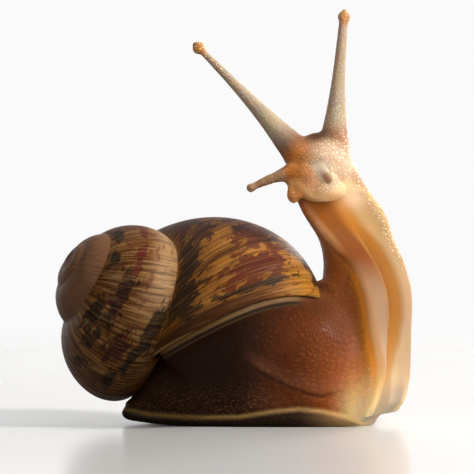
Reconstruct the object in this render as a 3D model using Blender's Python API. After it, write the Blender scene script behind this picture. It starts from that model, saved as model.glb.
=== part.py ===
"""A garden snail (Cornu aspersum), life size, rearing up and looking back over its shell.

X runs from tail to front, Y to the snail's left, Z up; the sole rests on Z = 0. Sizes are in
millimetres here and turned into metres where a mesh is made. The flesh is modelled whole, as
lofts joined by unions, and then parted by thin cuts into the named lengths of the body.
"""

import math

import bmesh
import bpy
from mathutils import Matrix, Vector

MM = 0.001

# ---------------------------------------------------------------- driving dimensions

# Shell: a section grows and turns about the shell's axis; one turn is one whorl.
APEX = Vector((-21.55, -1.4, 21.55))
AXIS_DIP = math.radians(36.0)
AXIS_SPLAY = math.radians(14.4)
START_ANGLE = math.radians(-20.9)
WHORLS = 3.3
WHORL_RATIO = 2.16
RATIO_CHANGE = 0.083
SECTION_RADIUS = 11.9
SECTION_DROP = 26.1
DOMING = 1.55
SECTION_SEMI = (10.2, 13.2)
SECTION_TILT = math.radians(31.4)
LIP_LEAN = math.radians(19.4)
LIP_YAW = math.radians(12.2)
LIP_BLEND = 0.55
LIP_ARCH = 0.012
LIP_ARCH_MIDDLE = -0.2
LIP_ARCH_REACH = 1.2
APEX_RISE = 0.4
BASE_END = -2.9

# Flesh: each row is one section; what lies between is a smooth curve through the rows.
# foot_rows: x, height of the sole off the floor, half width, height of the back
FOOT_ROWS = (
    (-14.9, 1.2, 0.6, 1.2),
    (-14.2, 0.75, 1.4, 2.6),
    (-12.8, 0.4, 2.3, 5.4),
    (-10.8, 0.2, 3.3, 9.2),
    (-8.5, 0.1, 4.4, 11.0),
    (-5.0, 0.0, 5.2, 12.0),
    (2.0, 0.0, 5.9, 12.0),
    (9.0, 0.0, 6.0, 12.5),
    (14.0, 0.0, 5.6, 12.0),
    (17.4, 0.0, 3.6, 8.0),
)
# neck_rows: z, middle of the sole in x and y, turn of the sole towards the snail's right in
# degrees, half width of the sole, thickness from sole to back
NECK_ROWS = (
    (1.3, 19.3, -1.5, 17.0, 4.0, 7.4),
    (2.1, 20.2, -1.7, 20.0, 4.9, 9.0),
    (5.8, 20.8, -2.0, 22.0, 5.5, 10.4),
    (12.0, 20.3, -2.2, 30.0, 5.4, 12.0),
    (17.0, 19.9, -2.4, 38.0, 5.1, 10.8),
    (20.5, 18.6, -2.7, 47.0, 4.9, 9.6),
    (24.0, 16.3, -3.1, 66.0, 4.8, 8.2),
    (27.4, 14.3, -3.6, 80.0, 5.2, 6.4),
    (30.6, 12.6, -3.3, 90.0, 4.5, 6.4),
    (33.4, 11.8, -2.6, 90.0, 3.8, 5.4),
    (36.0, 11.2, -1.6, 90.0, 2.4, 2.8),
)
RIM_HEIGHT = 1.1
SOLE_GUTTER = 0.7

# mantle_rows: how far out of the shell's mouth, and the size of the section against the mouth's
MANTLE_ROWS = ((-1.3, 0.95), (0.35, 0.985), (1.15, 0.95), (1.9, 0.88))
MANTLE_ROOT = Vector((3.2, -0.3, 3.0))
MANTLE_ROOT_WIDTH = 0.64
COLLAR_DEPTH = 1.3

# full forms of the flank and head, and the lip lobes: middle, half sizes
FORMS = {
    "hip": (Vector((-5.0, -0.9, 6.6)), Vector((7.8, 5.3, 7.6))),
    "flank": (Vector((10.6, -1.7, 8.4)), Vector((8.8, 5.5, 10.6))),
    "cranium": (Vector((10.8, -1.2, 33.7)), Vector((4.3, 4.0, 4.5))),
    "snout": (Vector((9.7, -3.7, 32.0)), Vector((3.4, 2.6, 2.35))),
}
PALPS = {
    "left": (Vector((11.4, -5.6, 30.9)), Vector((2.3, 1.2, 1.3))),
    "right": (Vector((7.35, -4.9, 30.3)), Vector((0.95, 0.95, 1.35))),
}

# tentacles: base, bend and tip, and the radius at each; then the radius of the end knob
UPPER_TENTACLES = {
    "left": ((12.6, -1.6, 35.6), (13.2, -0.6, 45.0), (14.0, 0.2, 53.3), (2.3, 0.8, 0.6), 0.8),
    "right": ((8.4, -2.2, 35.0), (1.4, -1.8, 42.9), (-5.0, -1.0, 49.2), (2.3, 0.75, 0.42), 0.75),
}
LOWER_TENTACLES = {
    "left": ((10.0, -3.6, 34.2), (10.8, -5.4, 33.5), (12.0, -6.6, 32.2), (1.05, 0.75, 0.62), 0.66),
    "right": ((7.4, -3.7, 33.1), (4.4, -4.6, 32.3), (1.8, -5.0, 31.0), (1.4, 0.65, 0.45), 0.62),
}
EYE_RADIUS = 0.42
EYE_SET = 0.5
EYE_GAP = 0.06

CUT = 0.15
SHELL_GAP = 0.28
# planes that part the body: a point and the normal towards the piece that is cut off
WHOLE_WIDTH = 100.0
HEAD_CUT = (Vector((12.2, 0.0, 29.0)), Vector((-0.35, 0.0, 1.0)))
UPPER_NECK_CUT = (Vector((16.0, 0.0, 18.3)), Vector((0.0, 0.0, 1.0)))
LOWER_NECK_CUT = (Vector((13.2, 0.0, 8.0)), Vector((1.0, 0.0, 0.0)))
TAIL_CUT = (Vector((-8.0, 0.0, 2.0)), Vector((-1.0, 0.0, 0.0)))
TENTACLE_CUT_AT = 0.3
TENTACLE_CUT_WIDTH = 2.4

SHELL_ROWS_PER_TURN = 36
WHORL_SEGMENTS = 9
BASE_SEGMENTS = 9
LOFT_SIDES = 24
FOOT_RINGS = 20
NECK_RINGS = 18
MANTLE_RINGS = 3
TENTACLE_SIDES = 10
TENTACLE_RINGS = 8

COLORS = {
    "shell": (0.36, 0.17, 0.055, 1.0),
    "flesh": (0.30, 0.16, 0.075, 1.0),
    "eye": (0.30, 0.19, 0.13, 1.0),
}
ROUGHNESS = {"shell": 0.4, "flesh": 0.5, "eye": 0.3}


# ---------------------------------------------------------------- small tools


def material(name):
    made = bpy.data.materials.new(name)
    made.use_nodes = True
    made.diffuse_color = COLORS[name]
    shader = made.node_tree.nodes["Principled BSDF"]
    shader.inputs["Base Color"].default_value = COLORS[name]
    shader.inputs["Roughness"].default_value = ROUGHNESS[name]
    shader.inputs["Metallic"].default_value = 0.0
    return made


def add_object(name, bm):
    bmesh.ops.recalc_face_normals(bm, faces=bm.faces)
    mesh = bpy.data.meshes.new(name)
    bm.to_mesh(mesh)
    bm.free()
    made = bpy.data.objects.new(name, mesh)
    bpy.context.collection.objects.link(made)
    return made


def through(rows, at):
    """The row at the place `at`, 0 to 1 along the rows, on a smooth curve through them all."""
    place = at * (len(rows) - 1)
    i = min(int(place), len(rows) - 2)
    t = place - i
    before = rows[max(i - 1, 0)]
    after = rows[min(i + 2, len(rows) - 1)]
    made = []
    for p0, p1, p2, p3 in zip(before, rows[i], rows[i + 1], after):
        m1 = (p2 - p0) / 2
        m2 = (p3 - p1) / 2
        made.append(
            (2 * t**3 - 3 * t**2 + 1) * p1
            + (t**3 - 2 * t**2 + t) * m1
            + (3 * t**2 - 2 * t**3) * p2
            + (t**3 - t**2) * m2
        )
    return made


def loft(name, rings):
    """One closed solid through the rings of points, with a face over each end."""
    bm = bmesh.new()
    made = [[bm.verts.new(point * MM) for point in ring] for ring in rings]
    for low, high in zip(made, made[1:]):
        for i in range(len(low)):
            j = (i + 1) % len(low)
            bm.faces.new((low[i], low[j], high[j], high[i]))
    for ring in (made[0], made[-1]):
        end = bm.faces.new(ring)
        bmesh.ops.triangulate(bm, faces=[end])
    return add_object(name, bm)


def boolean(target, other, operation):
    change = target.modifiers.new(operation, "BOOLEAN")
    change.operation = operation
    change.solver = "MANIFOLD"
    change.object = other
    bpy.context.view_layer.update()
    graph = bpy.context.evaluated_depsgraph_get()
    mesh = bpy.data.meshes.new_from_object(target.evaluated_get(graph))
    target.modifiers.clear()
    target.data = mesh
    drop_crumbs(mesh)


def drop_crumbs(mesh):
    """Keeps only the largest piece of a mesh, where a cut has left crumbs beside it."""
    bm = bmesh.new()
    bm.from_mesh(mesh)
    unseen = set(bm.verts)
    pieces = []
    while unseen:
        piece = {unseen.pop()}
        edge = list(piece)
        while edge:
            near = {e.other_vert(v) for v in edge for e in v.link_edges} & unseen
            unseen -= near
            piece |= near
            edge = list(near)
        pieces.append(piece)
    pieces.sort(key=len)
    crumbs = [vert for piece in pieces[:-1] for vert in piece]
    bmesh.ops.delete(bm, geom=crumbs, context="VERTS")
    bmesh.ops.recalc_face_normals(bm, faces=bm.faces)
    bm.to_mesh(mesh)
    bm.free()


def join(target, others):
    for other in others:
        boolean(target, other, "UNION")
        bpy.data.objects.remove(other)
    return target


def foot_section(half_width, height, gutter):
    """Points around one section of the body: lateral offset, and height above the sole."""
    rim_height = min(RIM_HEIGHT, height / 2)
    points = []
    for k in range(LOFT_SIDES):
        angle = 2 * math.pi * k / LOFT_SIDES
        across = math.cos(angle)
        up = math.sin(angle)
        if up >= 0:
            lateral = across * abs(across) ** 0.25
            points.append((half_width * lateral, rim_height + (height - rim_height) * up))
        else:
            rim = rim_height * max(0.0, 1 + up / 0.5) ** 1.5
            points.append((half_width * across * abs(across) ** -0.15, rim + gutter * up * up))
    return points


# ---------------------------------------------------------------- shell


def growth(turn):
    return math.exp(math.log(WHORL_RATIO) * turn + RATIO_CHANGE * turn * turn)


def section_point(turn, angle):
    """Distance from the axis and height along it, at an angle around the whorl's section."""
    size = growth(turn)
    out, along = SECTION_SEMI
    cos_tilt, sin_tilt = math.cos(SECTION_TILT), math.sin(SECTION_TILT)
    across = out * math.cos(angle)
    down = along * math.sin(angle)
    radius = size * (SECTION_RADIUS + across * cos_tilt - down * sin_tilt)
    height = -SECTION_DROP * size**DOMING + size * (across * sin_tilt + down * cos_tilt)
    return radius, height


def section_angle(turn, radius, height):
    """The angle and the relative distance of a point from the middle of a whorl's section."""
    size = growth(turn)
    over = radius - size * SECTION_RADIUS
    rise = height + SECTION_DROP * size**DOMING
    cos_tilt, sin_tilt = math.cos(SECTION_TILT), math.sin(SECTION_TILT)
    out = (over * cos_tilt + rise * sin_tilt) / (SECTION_SEMI[0] * size)
    along = (-over * sin_tilt + rise * cos_tilt) / (SECTION_SEMI[1] * size)
    return math.atan2(along, out), math.hypot(out, along)


def suture_angle(turn):
    """Where the section, followed inwards over its top, runs into the whorl before it."""

    def is_inside(angle):
        return section_angle(turn - 1, *section_point(turn, angle))[1] < 1

    steps = 60
    low = 0.0
    for k in range(1, steps + 1):
        high = math.pi * k / steps
        if is_inside(high):
            break
        low = high
    for _ in range(30):
        middle = (low + high) / 2
        if is_inside(middle):
            high = middle
        else:
            low = middle
    return (low + high) / 2


def shell_axes():
    up_axis = Vector(
        (
            -math.cos(AXIS_DIP) * math.cos(AXIS_SPLAY),
            -math.sin(AXIS_SPLAY),
            math.sin(AXIS_DIP) * math.cos(AXIS_SPLAY),
        )
    )
    near = Vector((0.0, -1.0, 0.0))
    near = (near - up_axis * near.dot(up_axis)).normalized()
    return near, up_axis.cross(near), up_axis


NEAR_AXIS, SIDE_AXIS, UP_AXIS = shell_axes()


def shell_point(turn, angle):
    radius, height = section_point(turn, angle)
    heading = START_ANGLE - 2 * math.pi * turn
    return (
        APEX
        + NEAR_AXIS * (radius * math.cos(heading))
        + SIDE_AXIS * (radius * math.sin(heading))
        + UP_AXIS * height
    )


LIP_NORMAL = Vector(
    (
        math.sin(LIP_LEAN) * math.cos(LIP_YAW),
        -math.sin(LIP_YAW),
        -math.cos(LIP_LEAN) * math.cos(LIP_YAW),
    )
)
LIP_START = shell_point(0.0, suture_angle(0.0))


def lip_turn(angle):
    """The turn at which the surface at this angle passes the plane of the lip."""
    low, high = -0.55, 0.12
    for _ in range(40):
        middle = (low + high) / 2
        if (shell_point(middle, angle) - LIP_START).dot(LIP_NORMAL) < 0:
            low = middle
        else:
            high = middle
    return (low + high) / 2


def smooth(t):
    t = min(max(t, 0.0), 1.0)
    return t * t * (3 - 2 * t)


def grown_point(turn, angle):
    """A point of the shell, where the last part of the last whorl is drawn to end at the lip."""
    blend = smooth(1 + turn / LIP_BLEND)
    if blend > 0:
        arch = LIP_ARCH * smooth(1 - abs(angle - LIP_ARCH_MIDDLE) / LIP_ARCH_REACH)
        turn += blend * (lip_turn(angle) - arch)
    return shell_point(turn, angle)


def whorl_row(turn):
    """The outer side of a whorl, from its upper suture to where the next whorl covers it."""
    upper = suture_angle(turn)
    covering = min(turn + 1, 0.0)
    covered = section_point(covering, suture_angle(covering))
    lower = section_angle(covering - 1, *covered)[0]
    steps = [upper + (lower - upper) * k / WHORL_SEGMENTS for k in range(WHORL_SEGMENTS + 1)]
    return [grown_point(turn, angle) for angle in steps], lower


def base_row(turn, lower):
    """The last whorl from there on, round its base and in towards the axis."""
    steps = [lower + (BASE_END - lower) * k / BASE_SEGMENTS for k in range(1, BASE_SEGMENTS + 1)]
    return [grown_point(turn, angle) for angle in steps]


def shell_solid(name):
    """The whole shell as one solid: whorls stitched along their sutures, with a flat mouth."""
    per_turn = SHELL_ROWS_PER_TURN
    last = round(WHORLS * per_turn)
    bm = bmesh.new()
    turns = [(i - last) / per_turn for i in range(last + 1)]
    rows = []
    bases = []
    for turn in turns:
        points, lower = whorl_row(turn)
        rows.append([bm.verts.new(p * MM) for p in points[:-1]])
        if turn > -1:
            rows[-1].append(bm.verts.new(points[-1] * MM))
        if turn >= -1:
            bases.append([bm.verts.new(p * MM) for p in base_row(turn, lower)])
    for i in range(last + 1 - per_turn):
        rows[i].append(rows[i + per_turn][0])

    for one, two in zip(rows, rows[1:]):
        for k in range(WHORL_SEGMENTS):
            bm.faces.new((one[k], one[k + 1], two[k + 1], two[k]))
    axis_end = bm.verts.new(lip_axis_point() * MM)
    last_turn = rows[last - per_turn :]
    for row, base in zip(last_turn, bases):
        base.insert(0, row[-1])
        base.append(axis_end)
    for one, two in zip(bases, bases[1:]):
        for k in range(BASE_SEGMENTS):
            bm.faces.new((one[k], one[k + 1], two[k + 1], two[k]))
        bm.faces.new((one[-2], axis_end, two[-2]))

    apex = bm.verts.new((APEX + UP_AXIS * APEX_RISE) * MM)
    rim = [row[0] for row in rows[: per_turn + 1]] + rows[0][-2:0:-1]
    for one, two in zip(rim, rim[1:] + rim[:1]):
        bm.faces.new((one, two, apex))
    mouth = bm.faces.new(rows[-1] + bases[-1][1:] + bases[0][-2:0:-1])
    bmesh.ops.triangulate(bm, faces=[mouth], ngon_method="EAR_CLIP")
    return add_object(name, bm)


def lip_axis_point():
    """Where the shell's axis passes the plane of the lip."""
    along = (LIP_START - APEX).dot(LIP_NORMAL) / UP_AXIS.dot(LIP_NORMAL)
    return APEX + UP_AXIS * along


# ---------------------------------------------------------------- flesh


def foot():
    rings = []
    for k in range(FOOT_RINGS + 1):
        x, lift, half_width, height = through(FOOT_ROWS, k / FOOT_RINGS)
        section = foot_section(half_width, height, 0.0)
        rings.append([Vector((x, u, max(lift, 0.0) + v)) for u, v in section])
    return loft("foot_whole", rings)


def neck():
    rings = []
    for k in range(NECK_RINGS + 1):
        z, x, y, turn, half_width, thickness = through(NECK_ROWS, k / NECK_RINGS)
        facing = Vector((math.cos(math.radians(turn)), -math.sin(math.radians(turn)), 0.0))
        across = Vector((-facing.y, facing.x, 0.0))
        middle = Vector((x, y, z))
        section = foot_section(half_width, thickness, SOLE_GUTTER)
        rings.append([middle + across * u - facing * v for u, v in section])
    return loft("neck_whole", rings)


def mouth_outline():
    """The lip from its upper end round to the base, as points in the plane of the mouth."""
    start = suture_angle(0.0)
    steps = [start + (BASE_END - start) * k / LOFT_SIDES for k in range(LOFT_SIDES)]
    return [grown_point(0.0, angle) for angle in steps]


def mantle():
    """The stalk that fills the shell's mouth and runs down into the foot."""
    outline = mouth_outline()
    middle = sum(outline, Vector()) / len(outline)
    rings = []
    for reach, spread in MANTLE_ROWS:
        rings.append([middle + LIP_NORMAL * reach + (p - middle) * spread for p in outline])
    last = rings[-1]
    root = [MANTLE_ROOT + (p - middle) * MANTLE_ROOT_WIDTH for p in outline]
    for k in range(1, MANTLE_RINGS + 1):
        rings.append([high.lerp(low, k / MANTLE_RINGS) for high, low in zip(last, root)])
    return loft("mantle_whole", rings)


def ellipsoid(name, middle, semi, segments=16, rings=10):
    bm = bmesh.new()
    bmesh.ops.create_uvsphere(bm, u_segments=segments, v_segments=rings, radius=1.0)
    place = Matrix.Translation(middle * MM) @ Matrix.Diagonal((*(semi * MM), 1.0))
    bm.transform(place)
    return add_object(name, bm)


def tentacle_path(base, bend, tip, t):
    base, bend, tip = Vector(base), Vector(bend), Vector(tip)
    return base * (1 - t) ** 2 + bend * (2 * t * (1 - t)) + tip * t * t


def tentacle(name, base, bend, tip, radii):
    """A tapering stalk along a bent path, with its radius given at base, middle and tip."""
    rings = []
    for k in range(TENTACLE_RINGS + 1):
        t = k / TENTACLE_RINGS
        here = tentacle_path(base, bend, tip, t)
        ahead = tentacle_path(base, bend, tip, t + 0.01) - here
        side = ahead.cross(Vector((0.0, 1.0, 0.0))).normalized()
        over = ahead.cross(side).normalized()
        width = radii[1] + (radii[0] - radii[1]) * (1 - t) ** 3 + (radii[2] - radii[1]) * t**2
        ring = []
        for i in range(TENTACLE_SIDES):
            angle = 2 * math.pi * i / TENTACLE_SIDES
            ring.append(here + (side * math.cos(angle) + over * math.sin(angle)) * width)
        rings.append(ring)
    return loft(name, rings)


def eye_at(side):
    """The eye, set in the outer end of an upper tentacle's knob."""
    base, bend, tip, radii, knob = UPPER_TENTACLES[side]
    outwards = (Vector(tip) - Vector(bend)).normalized()
    middle = Vector(tip) + outwards * (knob - EYE_RADIUS * EYE_SET)
    return ellipsoid("eye", middle, Vector((EYE_RADIUS,) * 3), 12, 8)


def copy_of(source, name):
    made = bpy.data.objects.new(name, source.data.copy())
    bpy.context.collection.objects.link(made)
    return made


def swollen(source, distance):
    """A copy whose surface lies outside the source's by about this distance."""
    bm = bmesh.new()
    bm.from_mesh(source.data)
    bm.normal_update()
    for vert in bm.verts:
        vert.co += vert.normal * distance * MM
    return add_object("swollen", bm)


def block(point, normal, width, depth):
    """A block on the side of a plane that the normal points to, its face centred on the point."""
    normal = normal.normalized()
    bm = bmesh.new()
    bmesh.ops.create_cube(bm, size=1.0)
    turn = Vector((0.0, 0.0, 1.0)).rotation_difference(normal).to_matrix().to_4x4()
    stretch = Matrix.Diagonal((width, width, depth, 1.0))
    bm.transform(Matrix.Translation(point + normal * depth / 2) @ turn @ stretch)
    bmesh.ops.scale(bm, vec=(MM, MM, MM), verts=bm.verts)
    return add_object("block", bm)


def split(whole, name, point, normal, width=WHOLE_WIDTH, depth=WHOLE_WIDTH):
    """Parts the whole at a plane: what the block beyond it holds is returned as a new object."""
    beyond = block(point + normal.normalized() * CUT / 2, normal, width, depth)
    cleared = block(point - normal.normalized() * CUT / 2, normal, width + CUT, depth + CUT)
    return part_with(whole, name, beyond, cleared)


def collar_block(scale, depth):
    """The space inside the shell's mouth, down to a depth below the plane of the lip."""
    outline = mouth_outline()
    middle = sum(outline, Vector()) / len(outline)
    ring = [middle + (point - middle) * scale for point in outline]
    ends = (LIP_NORMAL * depth, -LIP_NORMAL * depth * 3)
    return loft("collar_block", [[point + end for point in ring] for end in ends])


def part_with(whole, name, beyond, cleared):
    """Parts the whole with a block and a slightly larger one, which leaves the gap between."""
    piece = copy_of(whole, name)
    boolean(piece, beyond, "INTERSECT")
    boolean(whole, cleared, "DIFFERENCE")
    bpy.data.objects.remove(beyond)
    bpy.data.objects.remove(cleared)
    return piece


def finish(made, name, look):
    made.name = name
    made.data.materials.clear()
    made.data.materials.append(look)
    made.data.shade_smooth()
    made.data.set_sharp_from_angle(angle=math.radians(35))


# ---------------------------------------------------------------- assembly


def main():
    for old in list(bpy.data.objects):
        bpy.data.objects.remove(old)
    looks = {name: material(name) for name in COLORS}

    shell = shell_solid("shell")
    finish(shell, "shell", looks["shell"])

    parts = [mantle(), neck()]
    parts += [ellipsoid(name, *sizes) for name, sizes in FORMS.items()]
    feelers = {f"upper_tentacle_{side}": sizes for side, sizes in UPPER_TENTACLES.items()}
    feelers |= {f"lower_tentacle_{side}": sizes for side, sizes in LOWER_TENTACLES.items()}
    for name, sizes in feelers.items():
        parts.append(tentacle(name + "_stalk", *sizes[:4]))
        parts.append(ellipsoid(name + "_knob", Vector(sizes[2]), Vector((sizes[4],) * 3), 10, 7))
    body = join(foot(), parts)
    ground = block(Vector(), Vector((0.0, 0.0, -1.0)), WHOLE_WIDTH, WHOLE_WIDTH)
    boolean(body, ground, "DIFFERENCE")
    bpy.data.objects.remove(ground)
    clearance = swollen(shell, SHELL_GAP)
    boolean(body, clearance, "DIFFERENCE")
    bpy.data.objects.remove(clearance)

    for side in UPPER_TENTACLES:
        eye = eye_at(side)
        socket = swollen(eye, EYE_GAP)
        boolean(body, socket, "DIFFERENCE")
        bpy.data.objects.remove(socket)
        finish(eye, f"eye_{side}", looks["eye"])

    pieces = []
    for name, sizes in feelers.items():
        here = tentacle_path(*sizes[:3], TENTACLE_CUT_AT)
        ahead = tentacle_path(*sizes[:3], TENTACLE_CUT_AT + 0.01) - here
        width = TENTACLE_CUT_WIDTH * sizes[3][0]
        depth = (Vector(sizes[2]) - here).length + 2 * sizes[4]
        pieces.append(split(body, name, here, ahead, width, depth))
    head = split(body, "head", *HEAD_CUT)
    pieces.append(head)
    for side, sizes in PALPS.items():
        palp = ellipsoid(f"labial_palp_{side}", *sizes, 16, 10)
        for neighbour in (head, bpy.data.objects[f"lower_tentacle_{side}"]):
            seat = swollen(neighbour, CUT)
            boolean(palp, seat, "DIFFERENCE")
            bpy.data.objects.remove(seat)
        pieces.append(palp)
    pieces.append(split(body, "neck_upper", *UPPER_NECK_CUT))
    blocks = (collar_block(1.0, COLLAR_DEPTH), collar_block(1.02, COLLAR_DEPTH + CUT))
    pieces.append(part_with(body, "mantle_collar", *blocks))
    pieces.append(split(body, "neck_lower", *LOWER_NECK_CUT))
    pieces.append(split(body, "tail", *TAIL_CUT))
    body.name = "foot"
    for piece in pieces + [body]:
        finish(piece, piece.name, looks["flesh"])


main()
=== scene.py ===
import math

import bmesh
import bpy
import numpy as np
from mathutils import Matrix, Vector, noise


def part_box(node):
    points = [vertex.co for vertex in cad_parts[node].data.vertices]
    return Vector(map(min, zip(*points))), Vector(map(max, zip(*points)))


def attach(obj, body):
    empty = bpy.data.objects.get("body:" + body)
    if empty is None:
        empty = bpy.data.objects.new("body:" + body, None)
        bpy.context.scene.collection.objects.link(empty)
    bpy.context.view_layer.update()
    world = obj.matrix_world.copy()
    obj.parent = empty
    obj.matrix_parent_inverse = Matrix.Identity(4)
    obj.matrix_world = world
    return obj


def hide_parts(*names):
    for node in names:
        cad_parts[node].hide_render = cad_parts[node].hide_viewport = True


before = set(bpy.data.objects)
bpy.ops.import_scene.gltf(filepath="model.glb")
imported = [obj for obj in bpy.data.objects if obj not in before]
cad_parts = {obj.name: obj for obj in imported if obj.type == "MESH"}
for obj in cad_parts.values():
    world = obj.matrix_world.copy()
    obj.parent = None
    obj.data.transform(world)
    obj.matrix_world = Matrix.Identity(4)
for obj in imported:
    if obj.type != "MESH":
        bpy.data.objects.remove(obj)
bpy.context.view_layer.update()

# ---------------------------------------------------------------- shell
# The shell is one thin tube of lime, wound about a leaning axis and widening at every turn. The
# snail lays it down at the lip in fine ribs, under a thin horny skin that carries dark spiral
# bands and blotches. Their ragged edges run with the ribs.

# sizes in millimetres, angles in radians, and places along the spiral in turns before the lip
MM = 0.001
SHELL_APEX = Vector((-21.55, -1.4, 21.55))
AXIS_DIP = math.radians(36.0)
AXIS_SPLAY = math.radians(14.4)
START_ANGLE = math.radians(-20.9)
WHORL_RATIO = 2.16
RATIO_CHANGE = 0.083
NUCLEUS_START = -2.2
NUCLEUS_CHANGE = -0.15
FIRST_TURN = -5.0
SECTION_RADIUS = 11.9
SECTION_DROP = 26.1
DOMING = 1.55
SECTION_SEMI = (10.2, 13.2)
SECTION_TILT = math.radians(31.4)
LIP_LEAN = math.radians(19.4)
LIP_YAW = math.radians(12.2)
LIP_BLEND = 0.55
OLD_LEAN = 0.35
LIP_ARCH = 0.012
LIP_ARCH_MIDDLE = -0.2
LIP_ARCH_REACH = 1.2
LIP_SEARCH = (-0.55, 0.12)
LIP_HALVINGS = 30
SUTURE_STEPS = 60
SUTURE_HALVINGS = 40
BASE_END = -2.9
NUCLEUS_SIZE = 1.2
ROWS_PER_TURN = 120
WHORL_COLUMNS = 44
BASE_COLUMNS = 30
SHELL_WALL = 0.28
SHELL_WELD = 2e-6


def smooth(value):
    value = np.clip(value, 0.0, 1.0)
    return value * value * (3 - 2 * value)


def ramp(value, start, end):
    """0 up to the start and 1 past the end, which may be the lower of the two, smooth between."""
    return smooth((value - start) / (end - start))


def crossing(low, high, is_low, halvings):
    """Where is_low stops being true between low and high, found by halving the gap."""
    for _ in range(halvings):
        middle = (low + high) / 2
        below = is_low(middle)
        low = np.where(below, middle, low)
        high = np.where(below, high, middle)
    return (low + high) / 2


def growth(turn):
    """The size of the whorl at a turn, where 1 is its size at the lip."""
    early = np.minimum(turn - NUCLEUS_START, 0.0)
    late = np.maximum(turn, NUCLEUS_START)
    slope = math.log(WHORL_RATIO) + 2 * RATIO_CHANGE * NUCLEUS_START
    grown = math.log(WHORL_RATIO) * late + RATIO_CHANGE * late * late
    return np.exp(grown + slope * early + NUCLEUS_CHANGE * early * early)


def section_point(turn, angle):
    """Distance from the shell's axis and height along it, at an angle round the section."""
    size = growth(turn)
    across = SECTION_SEMI[0] * np.cos(angle)
    down = SECTION_SEMI[1] * np.sin(angle)
    cos_tilt, sin_tilt = math.cos(SECTION_TILT), math.sin(SECTION_TILT)
    radius = size * (SECTION_RADIUS + across * cos_tilt - down * sin_tilt)
    height = -SECTION_DROP * size**DOMING + size * (across * sin_tilt + down * cos_tilt)
    return radius, height


def section_angle(turn, radius, height):
    """The angle and relative distance of a point from the middle of a whorl's section."""
    size = growth(turn)
    over = radius - size * SECTION_RADIUS
    rise = height + SECTION_DROP * size**DOMING
    cos_tilt, sin_tilt = math.cos(SECTION_TILT), math.sin(SECTION_TILT)
    out = (over * cos_tilt + rise * sin_tilt) / (SECTION_SEMI[0] * size)
    along = (-over * sin_tilt + rise * cos_tilt) / (SECTION_SEMI[1] * size)
    return np.arctan2(along, out), np.hypot(out, along)


def suture_angle(turn):
    """Where each section, followed inwards over its top, runs into the whorl before it."""

    def is_clear(angle):
        return section_angle(turn - 1, *section_point(turn, angle))[1] >= 1

    low = np.zeros_like(turn)
    high = np.full_like(turn, math.pi)
    for angle in np.linspace(0, math.pi, SUTURE_STEPS + 1)[1:]:
        clear = is_clear(angle)
        unset = high == math.pi
        high = np.where(unset & ~clear, angle, high)
        low = np.where(unset & clear, angle, low)
    return crossing(low, high, is_clear, SUTURE_HALVINGS)


UP_AXIS = Vector(
    (
        -math.cos(AXIS_DIP) * math.cos(AXIS_SPLAY),
        -math.sin(AXIS_SPLAY),
        math.sin(AXIS_DIP) * math.cos(AXIS_SPLAY),
    )
)
FORWARD = Vector((0.0, -1.0, 0.0))
NEAR_AXIS = (FORWARD - UP_AXIS * FORWARD.dot(UP_AXIS)).normalized()
SIDE_AXIS = UP_AXIS.cross(NEAR_AXIS)
LIP_NORMAL = Vector(
    (
        math.sin(LIP_LEAN) * math.cos(LIP_YAW),
        -math.sin(LIP_YAW),
        -math.cos(LIP_LEAN) * math.cos(LIP_YAW),
    )
)


def shell_point(turn, angle):
    radius, height = section_point(turn, angle)
    heading = START_ANGLE - 2 * math.pi * turn
    return (
        np.array(SHELL_APEX)
        + np.multiply.outer(radius * np.cos(heading), np.array(NEAR_AXIS))
        + np.multiply.outer(radius * np.sin(heading), np.array(SIDE_AXIS))
        + np.multiply.outer(height, np.array(UP_AXIS))
    )


LIP_START = shell_point(np.zeros(1), suture_angle(np.zeros(1)))[0]


def lip_turn(angle):
    """The turn at which the surface at this angle passes the plane of the lip."""

    def is_inside(turn):
        return (shell_point(turn, angle) - LIP_START) @ np.array(LIP_NORMAL) < 0

    low, high = (np.full_like(angle, end) for end in LIP_SEARCH)
    return crossing(low, high, is_inside, LIP_HALVINGS)


def grown_point(turn, angle):
    """A point of the shell, where the last of the last whorl is drawn on to end at the lip, and
    the turn at which the lip stood when that point was laid down."""
    leaning = lip_turn(angle)
    drawn = smooth(1 + turn / LIP_BLEND)
    arch = LIP_ARCH * smooth(1 - np.abs(angle - LIP_ARCH_MIDDLE) / LIP_ARCH_REACH)
    moved = turn + drawn * (leaning - arch)
    return shell_point(moved, angle), moved - (OLD_LEAN + (1 - OLD_LEAN) * drawn) * leaning


# the main blotches: growth in mm before the lip and angle from the suture, half the size in
# each, and how black it is
SHELL_SPOTS = (
    (-21.0, 0.2, 7.5, 0.16, 0.9),
    (-10.5, 0.24, 4.2, 0.18, 0.9),
    (-5.2, 0.42, 1.4, 0.1, 0.6),
    (-27.0, 0.42, 3.5, 0.18, 0.5),
    (-35.0, 0.3, 4.0, 0.2, 0.5),
    (-21.5, 0.9, 1.6, 0.12, 0.5),
    (-18.0, 1.12, 4.4, 0.3, 0.15),
    (-9.0, 1.1, 3.2, 0.36, 0.1),
    (-5.0, 1.15, 0.75, 0.42, 1.0),
    (-28.5, 1.0, 2.2, 0.2, 0.4),
    (-9.0, 1.88, 1.8, 0.1, 0.05),
    (-4.2, 2.0, 1.2, 0.09, 1.0),
    (-107.4, 0.24, 1.8, 0.12, 1.0),
    (-114.3, 0.22, 2.2, 0.13, 0.9),
    (-107.0, 0.83, 4.0, 0.08, 0.1),
    (-113.6, 0.85, 2.2, 0.08, 0.1),
    (-101.5, 0.78, 4.5, 0.15, 0.6),
    (-97.0, 0.45, 3.0, 0.16, 0.8),
    (-92.8, 0.68, 1.6, 0.15, 0.6),
    (-94.2, 1.25, 2.2, 0.2, 0.5),
    (-88.6, 1.5, 1.6, 0.12, 0.7),
    (-92.6, 1.65, 2.4, 0.13, 0.9),
    (-97.5, 1.74, 3.5, 0.16, 1.0),
    (-87.6, 0.9, 1.4, 0.12, 0.6),
)
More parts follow.
